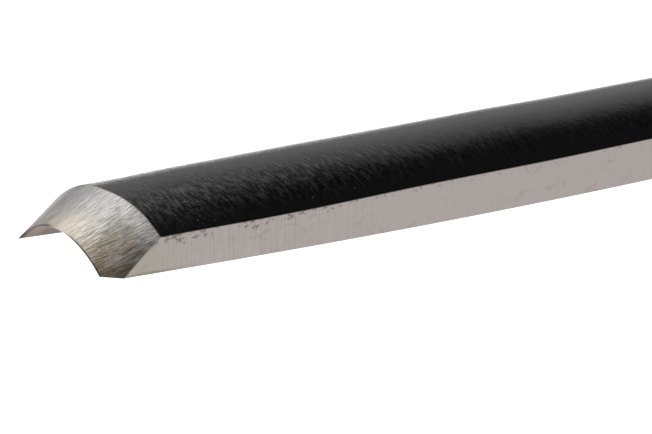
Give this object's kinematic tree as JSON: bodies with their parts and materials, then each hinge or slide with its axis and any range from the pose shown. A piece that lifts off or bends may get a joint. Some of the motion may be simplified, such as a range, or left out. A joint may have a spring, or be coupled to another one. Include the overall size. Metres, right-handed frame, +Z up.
{
  "type": "woodcarving gouge",
  "caption": "Straight woodcarving gouge: channelled steel blade, black convex back, bright ground sides and bevel, in an octagonal wooden handle with ferrule and strike hoop.",
  "frame": {"origin": "middle of the tool's length and width, on the surface that the handle's lower flat lies on", "axes": "+X from the cutting edge to the butt, +Z up with the blade's channel facing down, +Y to the tool's other side"},
  "size_m": [0.224, 0.026, 0.026],
  "materials": {
    "blade_steel": "ground bright on the sides, rims and bevel, black forge scale on the back, neck and bolster",
    "washer_leather": "natural vegetable tanned, burnished edge",
    "ferrule_brass": "turned, slightly dulled",
    "handle_wood": "oiled close-grained hardwood",
    "hoop_steel": "blackened, worn bright at the rear edge"
  },
  "bodies": {
    "root": {"gouge_blade": "blade_steel", "bolster_washer": "washer_leather", "ferrule": "ferrule_brass", "ferrule_pins": "ferrule_brass", "handle": "handle_wood", "strike_hoop": "hoop_steel"}
  },
  "joints": []
}
